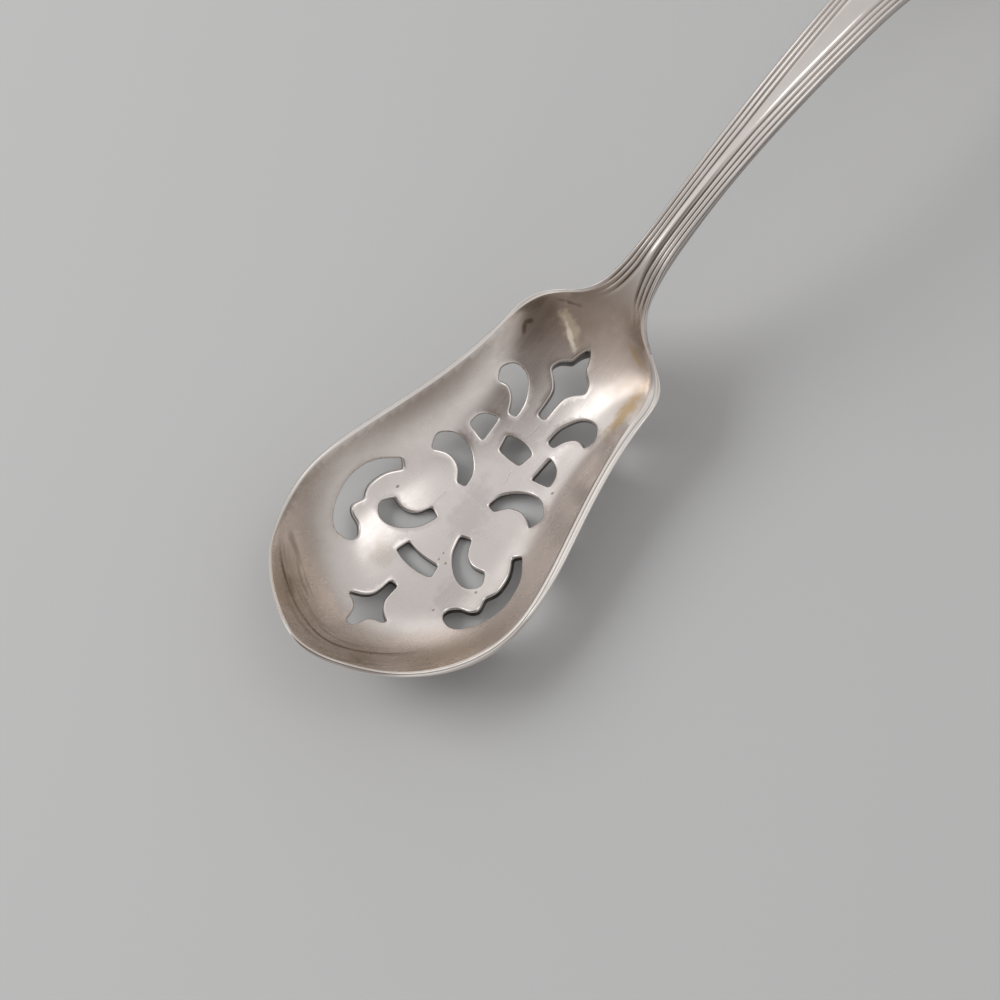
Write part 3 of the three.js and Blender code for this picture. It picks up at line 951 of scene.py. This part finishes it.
class Shader(Nodes):
    """A material's nodes, with calls for places on the spoon."""

    def __init__(self, name):
        self.material = bpy.data.materials.new(name)
        self.material.use_nodes = True
        super().__init__(self.material.node_tree)
        self.bsdf = self.tree.nodes["Principled BSDF"]

    def value_of(self, attribute):
        return self.node("ShaderNodeAttribute", attribute_name=attribute).outputs["Fac"]

    def place(self):
        return self.node("ShaderNodeTexCoord").outputs["Object"]

    def along(self):
        """Distance along X in metres."""
        return self.node("ShaderNodeSeparateXYZ", {0: self.place()}).outputs[0]

    def mapped(self, vector, **change):
        return self.node("ShaderNodeMapping", {"Vector": vector, **change}).outputs[0]

    def stretched(self, scale, turn=0.0):
        turned = self.mapped(self.place(), Rotation=(0.0, 0.0, turn))
        return self.mapped(turned, Scale=scale)

    def noise(self, vector, scale=1.0, detail=2.0, roughness=0.5):
        inputs = {"Vector": vector, "Scale": scale, "Detail": detail, "Roughness": roughness}
        return self.node("ShaderNodeTexNoise", inputs).outputs["Fac"]

    def spot(self, place, half_size, turn=0.0, ragged=0.0):
        """1 in the middle of an oval spot seen from above, 0 outside it. Place and size in millimetres."""
        u, y = place
        length, width = half_size
        moved = self.mapped(self.place(), Location=((MIDDLE_X - u) * MM, -y * MM, 0))
        turned = self.mapped(moved, Rotation=(0, 0, -turn))
        sized = self.mapped(turned, Scale=(1 / (length * MM), 1 / (width * MM), 0))
        distance = self.node("ShaderNodeVectorMath", {0: sized}, operation="LENGTH").outputs["Value"]
        if ragged:
            wobble = self.noise(self.place(), 900.0, 3.0, 0.6)
            distance = self.math("ADD", distance, self.math("MULTIPLY_ADD", wobble, ragged, -ragged / 2))
        return self.ramp(distance, 1.0, 0.3)

    def to(self, socket, value):
        self.tree.links.new(value, self.bsdf.inputs[socket])


CLEAN_SILVER = (0.86, 0.805, 0.78, 1)
WORN_SILVER = (0.94, 0.9, 0.87, 1)
GREY_SILVER = (0.6, 0.56, 0.55, 1)
TARNISH = (0.47, 0.395, 0.315, 1)
NECK_TARNISH = (0.44, 0.325, 0.245, 1)
# Dark tarnish, which also paints shade on the handle's sides, under the left rim and along a crease
DARK_TARNISH_AND_SHADE = (0.2, 0.15, 0.105, 1)
GOLDEN_TARNISH = (0.54, 0.39, 0.21, 1)
# Colours of the painted highlights on the heel
HEEL_HIGHLIGHT_GOLD = (0.95, 0.84, 0.64, 1)
HEEL_HIGHLIGHT_CREAM = (0.96, 0.88, 0.77, 1)
# Dirt in the reeds' grooves, and painted shade on the walls of the piercings
DIRT_AND_SHADE = (0.07, 0.06, 0.05, 1)
FLOOR_COLOUR = (0.52, 0.527, 0.535, 1)

# Greatest shares of tarnish and of the shine on worn edges, and height of the bumps in metres
FULL_TARNISH = 0.95
EDGE_SHINE = 0.85
BUMP_HEIGHT = 0.00006

# Marks on the bowl's inner surface: place from the tip and from the middle, half length and half width, turn,
# raggedness and strength
RUBBED_WALL = [((15.0, 11.5), (9.0, 3.2), 0.12, 0.8, 0.45)]
GOLDEN_MARKS = [
    # Stain below the right shoulder, and a streak above it
    ((43.6, -7.8), (4.4, 1.05), 0.03, 1.1, 0.85),
    ((49.0, -4.9), (2.2, 0.36), 1.17, 1.1, 0.7),
]
FLOOR_STAIN = [((15.1, 3.2), (2.2, 1.9), 0.0, 1.2, 0.35)]
FLOOR_SHADES = [
    ((25.5, -0.9), (5.5, 2.6), 0.27, 1.4, 0.45),
    ((36.7, 0.0), (4.2, 2.8), 0.0, 1.4, 0.45),
    ((16.4, -6.0), (4.5, 2.3), 0.3, 1.4, 0.45),
]
DARK_MARKS = [
    # Left shoulder: broad stain, two parts of a hook, painted shade under the rim, painted shade along a
    # crease
    ((44.5, 7.2), (6.5, 2.6), -0.28, 0.6, 0.36),
    ((45.15, 7.5), (1.0, 0.42), -0.67, 0.6, 0.9),
    ((44.4, 7.5), (1.1, 0.5), 0.52, 0.6, 0.9),
    ((46.4, 8.5), (3.0, 1.0), -0.6, 0.9, 0.55),
    ((49.1, 5.2), (2.2, 0.2), -1.24, 1.1, 0.65),
    # Smudges at the tip
    ((4.7, 6.7), (2.2, 0.6), 0.98, 1.2, 0.5),
    ((3.3, -4.6), (1.4, 0.4), -1.5, 1.2, 0.5),
    ((8.5, 9.8), (2.6, 0.45), 1.05, 1.2, 0.5),
]
# Painted highlights on the heel: a broad pale gold light and a narrower cream streak
HEEL_PAINTED_LIGHT = [((47.3, 3.2), (3.2, 1.1), 1.04, 1.6, 0.62)]
HEEL_PAINTED_HIGHLIGHT = [((46.8, 2.75), (2.5, 0.45), 1.04, 1.3, 0.8)]
FLECKS = [
    ((24.8, 2.95), (1.9, 0.11), -0.1, 0.0, 1.0),
    ((31.3, -1.55), (1.5, 0.1), 0.38, 0.0, 1.0),
    ((37.1, -0.3), (0.9, 0.1), -0.13, 0.0, 1.0),
]
PIT_SIZE = (0.24, 0.18)
PIT_PLACES = [(19.9, -1.7), (19.0, -1.8), (19.1, -2.7), (14.0, -5.5), (18.6, -7.7), (32.7, -6.8), (22.2, 7.3)]
PITS = [(place, PIT_SIZE, 0.0, 0.8, 1.0) for place in PIT_PLACES]


def marks(shader, listed):
    """The strongest of some marks at each place."""
    spots = []
    for place, half_size, turn, ragged, strength in listed:
        spots.append(shader.product(shader.spot(place, half_size, turn, ragged), strength))
    return shader.largest(*spots)


def past(shader, from_tip, to_tip, low=0.0, high=1.0):
    """Smooth step along the spoon between two distances from the tip in millimetres."""
    return shader.ramp(shader.along(), (from_tip - MIDDLE_X) * MM, (to_tip - MIDDLE_X) * MM, low, high)


def scratches(shader, turn, threshold):
    """Soft polishing marks in one direction: 1 where a mark runs, 0 between."""
    grain = shader.noise(shader.stretched((90.0, 2600.0, 90.0), turn), detail=2.0, roughness=0.5)
    return shader.ramp(grain, threshold, threshold + 0.2)


def hairlines(shader):
    """Polishing marks along the spoon, crossed by a few others."""
    brushed = shader.product(scratches(shader, 0.0, 0.48), 0.6)
    crossed = shader.product(scratches(shader, 0.5, 0.56), 0.5)
    return shader.math("ADD", brushed, crossed, clamp=True)


def finish_silver(shader, colour, cloud, polish, relief=None, highlight_film=None):
    """Silver with polishing marks and a soft unevenness. Polish is 1 where rubbing keeps it bright,
    and the last argument is 1 under the painted highlight on the heel, where the silver is made half as
    metallic."""
    lines = hairlines(shader)
    mottle = shader.ramp(shader.noise(shader.place(), 420.0, 2.0, 0.5), 0.35, 0.7)
    colour = shader.mix(shader.product(mottle, 0.07), colour, TARNISH)
    shader.bsdf.inputs["Metallic"].default_value = 1.0
    if highlight_film is not None:
        shader.to("Metallic", shader.math("MULTIPLY_ADD", highlight_film, -0.5, 1.0))
    shader.to("Base Color", shader.mix(shader.product(lines, 0.08), colour, WORN_SILVER))
    dull = shader.math("MULTIPLY_ADD", cloud, 0.1, 0.19)
    dull = shader.math("MULTIPLY_ADD", mottle, 0.04, dull)
    dull = shader.math("MULTIPLY_ADD", lines, 0.035, dull)
    shader.to("Roughness", shader.math("MULTIPLY_ADD", polish, -0.1, dull))
    swell = shader.noise(shader.place(), 260.0, 1.0, 0.4)
    waves = {"Strength": 0.5, "Distance": BUMP_HEIGHT, "Height": swell}
    normal = shader.node("ShaderNodeBump", waves).outputs[0]
    if relief is not None:
        deep = {"Strength": 0.8, "Distance": BUMP_HEIGHT, "Height": relief, "Normal": normal}
        normal = shader.node("ShaderNodeBump", deep).outputs[0]
    shader.to("Normal", normal)


def clouds(shader):
    """Broad soft patches, and the share of tarnish that they let through."""
    cloud = shader.noise(shader.place(), 140.0, 4.0, 0.6)
    return cloud, shader.ramp(cloud, 0.3, 0.7, 0.65, 1.0)


def rim_streaks(shader, share):
    """Dark streaks on the tip's wall that run along the rim: one strong line, and fainter ones beside it."""
    around = shader.value_of("around")
    drift = shader.math("MULTIPLY_ADD", around, -0.12, share)
    across = shader.product(drift, 42.0)
    vector = shader.node("ShaderNodeCombineXYZ", {0: shader.product(around, 1.6), 1: across}).outputs[0]
    grain = shader.noise(vector, 1.0, 3.0, 0.6)
    faint = shader.product(shader.ramp(grain, 0.5, 0.64), 0.55)
    off_line = shader.math("ABSOLUTE", shader.math("SUBTRACT", drift, 0.878))
    strong = shader.product(shader.ramp(off_line, 0.011, 0.003), shader.ramp(grain, 0.25, 0.45))
    band = shader.product(shader.ramp(share, 0.72, 0.82), shader.ramp(share, 1.0, 0.95))
    return shader.product(shader.largest(faint, strong), band, past(shader, 11.0, 5.0))


def bowl_tarnish(shader, share, patches):
    """Silver with brown tarnish on the wall, strongest at the tip, and on the neck."""
    rubbed = shader.math("SUBTRACT", 1.0, marks(shader, RUBBED_WALL))
    wall = shader.product(shader.ramp(share, 0.5, 0.9), past(shader, 24.0, 8.0, 0.3, 1.0), patches, rubbed)
    neck = shader.product(past(shader, 41.5, 49.0, 0.0, FULL_TARNISH), patches)
    return shader.layers(CLEAN_SILVER, [(wall, TARNISH), (neck, NECK_TARNISH)])


def make_bowl_silver():
    shader = Shader("bowl_silver")
    share = shader.value_of("rim_share")
    edge = shader.value_of("edge")
    under = shader.value_of("under")
    inner = shader.math("SUBTRACT", 1.0, under, clamp=True)
    cloud, patches = clouds(shader)

    pits = marks(shader, PITS)
    flecks = marks(shader, FLECKS)
    painted_heel_light = shader.product(marks(shader, HEEL_PAINTED_LIGHT), inner)
    painted_heel_highlight = shader.product(marks(shader, HEEL_PAINTED_HIGHLIGHT), inner)
    streaks = shader.product(rim_streaks(shader, share), FULL_TARNISH)
    dark = shader.largest(streaks, marks(shader, DARK_MARKS), shader.product(pits, 0.6))
    # Painted shade: the walls of the piercings are darkened nearly to black
    hole_wall_shade = shader.product(shader.value_of("hole"), shader.ramp(under, 0.0, 0.15))
    colour = shader.layers(bowl_tarnish(shader, share, patches), [
        (shader.product(marks(shader, GOLDEN_MARKS), inner), GOLDEN_TARNISH),
        (shader.product(marks(shader, FLOOR_STAIN), inner), TARNISH),
        (shader.product(marks(shader, FLOOR_SHADES), inner), GREY_SILVER),
        (shader.product(dark, inner), DARK_TARNISH_AND_SHADE),
        (painted_heel_light, HEEL_HIGHLIGHT_GOLD),
        (painted_heel_highlight, HEEL_HIGHLIGHT_CREAM),
        (shader.product(flecks, inner), WORN_SILVER),
        (shader.product(edge, EDGE_SHINE), WORN_SILVER),
        (shader.product(shader.value_of("line"), 0.9), DARK_TARNISH_AND_SHADE),
        (hole_wall_shade, DIRT_AND_SHADE),
    ])
    # The painted highlight on the heel is also made less metallic
    highlight_film = shader.largest(painted_heel_highlight, shader.product(painted_heel_light, 0.35))
    relief = shader.product(shader.math("SUBTRACT", flecks, pits), inner)
    finish_silver(shader, colour, cloud, edge, relief, highlight_film)
    return shader.material


def make_handle_silver():
    shader = Shader("handle_silver")
    cloud, patches = clouds(shader)
    neck = shader.product(past(shader, 60.0, 50.0, 0.15, FULL_TARNISH), patches)
    cut = shader.value_of("groove")
    crest = shader.product(shader.ramp(cut, 0.45, 0.08), past(shader, 51.0, 55.0))
    bright = shader.largest(crest, shader.value_of("edge"))
    dirty = shader.product(shader.ramp(cloud, 0.2, 0.7, 0.7, 1.0), past(shader, 95.0, 62.0, 0.6, 1.0))
    # Painted shade: the handle's side walls, halfway between top and underside, are darkened
    off_side = shader.math("ABSOLUTE", shader.math("SUBTRACT", shader.value_of("under"), 0.5))
    colour = shader.layers(CLEAN_SILVER, [
        (neck, NECK_TARNISH),
        (shader.product(bright, 0.8), WORN_SILVER),
        (shader.product(shader.ramp(cut, 0.45, 0.95), dirty), DIRT_AND_SHADE),
        (shader.ramp(off_side, 0.45, 0.2, 0.0, FULL_TARNISH), DARK_TARNISH_AND_SHADE),
    ])
    finish_silver(shader, colour, cloud, bright)
    return shader.material


def make_solder_silver():
    shader = Shader("solder")
    cloud, patches = clouds(shader)
    colour = shader.mix(shader.product(patches, FULL_TARNISH), CLEAN_SILVER, NECK_TARNISH)
    edge = shader.value_of("edge")
    colour = shader.mix(shader.product(edge, EDGE_SHINE), colour, WORN_SILVER)
    finish_silver(shader, colour, cloud, edge)
    return shader.material


# Stage, light and camera
def make_floor():
    shader = Shader("pale_floor")
    shader.bsdf.inputs["Base Color"].default_value = FLOOR_COLOUR
    shader.bsdf.inputs["Roughness"].default_value = 0.9
    shader.bsdf.inputs["Specular IOR Level"].default_value = 0.1
    half = 3.0
    corners = [(-half, -half, 0), (half, -half, 0), (half, half, 0), (-half, half, 0)]
    mesh = bpy.data.meshes.new("floor")
    mesh.from_pydata(corners, [], [(0, 1, 2, 3)])
    mesh.materials.append(shader.material)
    floor = bpy.data.objects.new("floor", mesh)
    bpy.context.scene.collection.objects.link(floor)


# Lamps: distance from the bowl in metres, turn and rise in degrees, side in metres, and radiance
LIT_PLACE = Vector((-0.05, 0.0, 0.005))
LAMP_COLOUR = (1.0, 0.985, 0.965)
LAMPS = {
    "key": (0.75, 118.0, 38.0, 0.4, 6.2),
    "window": (0.74, 129.0, 41.0, 0.21, 1.28),
    "overhead": (0.7, -20.0, 66.0, 0.28, 1.0),
}


def direction(turn, rise):
    """Unit vector towards a compass turn from +X and a rise above the table, both in degrees."""
    turn, rise = math.radians(turn), math.radians(rise)
    return Vector((math.cos(rise) * math.cos(turn), math.cos(rise) * math.sin(turn), math.sin(rise)))


def make_lights():
    """Square lamps that face the bowl. The silver mirrors them all but the key, which lights the floor."""
    for name, (distance, turn, rise, side, radiance) in LAMPS.items():
        light = bpy.data.lights.new(name, "AREA")
        light.shape = "SQUARE"
        light.size = side
        light.energy = radiance * math.pi * side * side
        light.color = LAMP_COLOUR
        lamp = bpy.data.objects.new(name, light)
        lamp.location = LIT_PLACE + distance * direction(turn, rise)
        lamp.rotation_euler = (LIT_PLACE - lamp.location).to_track_quat("-Z", "Y").to_euler()
        lamp.visible_glossy = name != "key"
        bpy.context.scene.collection.objects.link(lamp)


SKY_BEYOND_HANDLE = (0.57, 0.56, 0.555, 1)
SKY_BEYOND_TIP = (0.72, 0.71, 0.705, 1)
NEAR_TABLE = (0.22, 0.195, 0.175, 1)
PALE_WALL = (0.87, 0.855, 0.84, 1)
DARK_PLACE = (0.18, 0.155, 0.14, 1)


def make_world():
    """Soft light from all round, dim near the table, with a pale wall to one side and a dark place behind."""
    world = bpy.data.worlds.new("studio")
    bpy.context.scene.world = world
    world.use_nodes = True
    nodes = Nodes(world.node_tree)
    facing = nodes.node("ShaderNodeTexCoord").outputs["Generated"]
    way = nodes.node("ShaderNodeSeparateXYZ", {0: facing})
    along, height = way.outputs[0], way.outputs[2]

    def facing_towards(place):
        inputs = {0: facing, 1: place}
        return nodes.node("ShaderNodeVectorMath", inputs, operation="DOT_PRODUCT").outputs["Value"]

    sky = nodes.mix(nodes.fade(along, 0.5, -0.3), SKY_BEYOND_HANDLE, SKY_BEYOND_TIP)
    open_sky = nodes.product(nodes.fade(along, -1.05, -0.6), nodes.fade(height, 0.05, 0.42))
    beside = nodes.ramp(facing_towards(direction(75.0, 0.0)), 0.5, 0.8)
    wall = nodes.product(nodes.fade(height, 0.08, 0.22), nodes.fade(height, 0.62, 0.48), beside)
    behind = nodes.ramp(facing_towards(direction(-155.0, 52.0)), 0.8, 0.98)
    tone = nodes.mix(open_sky, NEAR_TABLE, sky)
    tone = nodes.layers(tone, [(wall, PALE_WALL), (behind, DARK_PLACE)])
    nodes.tree.links.new(tone, nodes.tree.nodes["Background"].inputs["Color"])


CAMERA_PLACE = Vector((-99.995, -48.299, 193.520))
CAMERA_FORWARD = Vector((0.25809, 0.22443, -0.93969))
CAMERA_UP = Vector((0.70911, 0.61660, 0.34202))
CAMERA_LENS = 64.8


def make_camera():
    camera = bpy.data.cameras.new("camera")
    camera.lens = CAMERA_LENS
    camera.sensor_width = 36.0
    camera.clip_start = 0.01
    view = bpy.data.objects.new("camera", camera)
    right = CAMERA_FORWARD.cross(CAMERA_UP).normalized()
    up = right.cross(CAMERA_FORWARD).normalized()
    turn = Matrix((right, up, -CAMERA_FORWARD.normalized())).transposed()
    view.matrix_world = Matrix.Translation(CAMERA_PLACE * MM) @ turn.to_4x4()
    bpy.context.scene.collection.objects.link(view)
    bpy.context.scene.camera = view


def place_piece(piece, node):
    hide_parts(node)
    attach(piece, "root")


make_camera()
make_floor()
make_lights()
make_world()
place_piece(make_bowl(make_bowl_silver()), "pierced_bowl")
place_piece(make_handle(make_handle_silver()), "reeded_handle")
place_piece(make_solder(make_solder_silver()), "solder_seam")

bpy.context.scene.view_settings.view_transform = "Standard"
